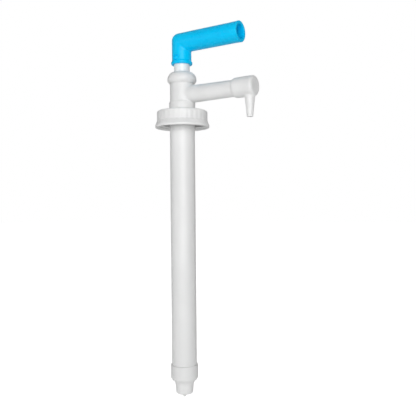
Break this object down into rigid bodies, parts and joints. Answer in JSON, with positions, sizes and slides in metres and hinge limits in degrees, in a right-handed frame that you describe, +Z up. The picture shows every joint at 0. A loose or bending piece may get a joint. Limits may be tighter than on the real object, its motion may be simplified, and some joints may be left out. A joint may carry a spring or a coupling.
{
  "type": "hand lift pump",
  "caption": "Jerrycan hand pump: long tube under a ribbed screw nut, side spout with a down-turned nozzle, and a sliding rod with an L-shaped handle.",
  "frame": {"origin": "centre of the sealing face under the neck gasket, on the pump's axis, where the pump sits on a can's neck", "axes": "+Z up along the tube's axis, +X along the spout arm, which the handle points along too at rest"},
  "size_m": [0.141, 0.0696, 0.4691],
  "materials": {
    "white_plastic": "satin moulded polyethylene",
    "milk_plastic": "smooth extruded or turned polyethylene",
    "blue_handle": "satin moulded",
    "rubber": "matt",
    "steel": "polished"
  },
  "bodies": {
    "pump": {"pump_body": "white_plastic", "cylinder_tube": "white_plastic", "gland_cap": "white_plastic", "gland_washer": "milk_plastic", "rod_seal": "rubber", "spout_elbow": "white_plastic", "neck_flange": "white_plastic", "neck_gasket": "rubber", "foot_valve_body": "white_plastic", "foot_gasket": "rubber", "foot_ball_cage": "milk_plastic", "foot_strainer": "white_plastic"},
    "nut": {"neck_nut": "white_plastic"},
    "rod_guide": {"guide_bush": "milk_plastic"},
    "rod": {"rod": "milk_plastic", "handle": "blue_handle", "handle_pin": "blue_handle", "piston_cage": "milk_plastic", "piston_cup": "rubber", "piston_guide_ring": "milk_plastic", "piston_seat": "milk_plastic"},
    "piston_ball": {"piston_ball": "steel"},
    "foot_ball": {"foot_ball": "steel"}
  },
  "joints": [
    {"name": "nut_spin", "type": "hinge", "parent": "pump", "child": "nut", "pos_m": [0, 0, 0], "axis": [0, 0, 1], "continuous": true},
    {"name": "handle_turn", "type": "hinge", "parent": "pump", "child": "rod_guide", "pos_m": [0, 0, 0.05], "axis": [0, 0, 1], "continuous": true},
    {"name": "pump_stroke", "type": "slide", "parent": "rod_guide", "child": "rod", "axis": [0, 0, 1], "range_m": [-0.0065, 0.2705]},
    {"name": "piston_ball_lift", "type": "slide", "parent": "rod", "child": "piston_ball", "axis": [0, 0, 1], "range_m": [0, 0.0045]},
    {"name": "foot_ball_lift", "type": "slide", "parent": "pump", "child": "foot_ball", "axis": [0, 0, 1], "range_m": [0, 0.005]}
  ]
}
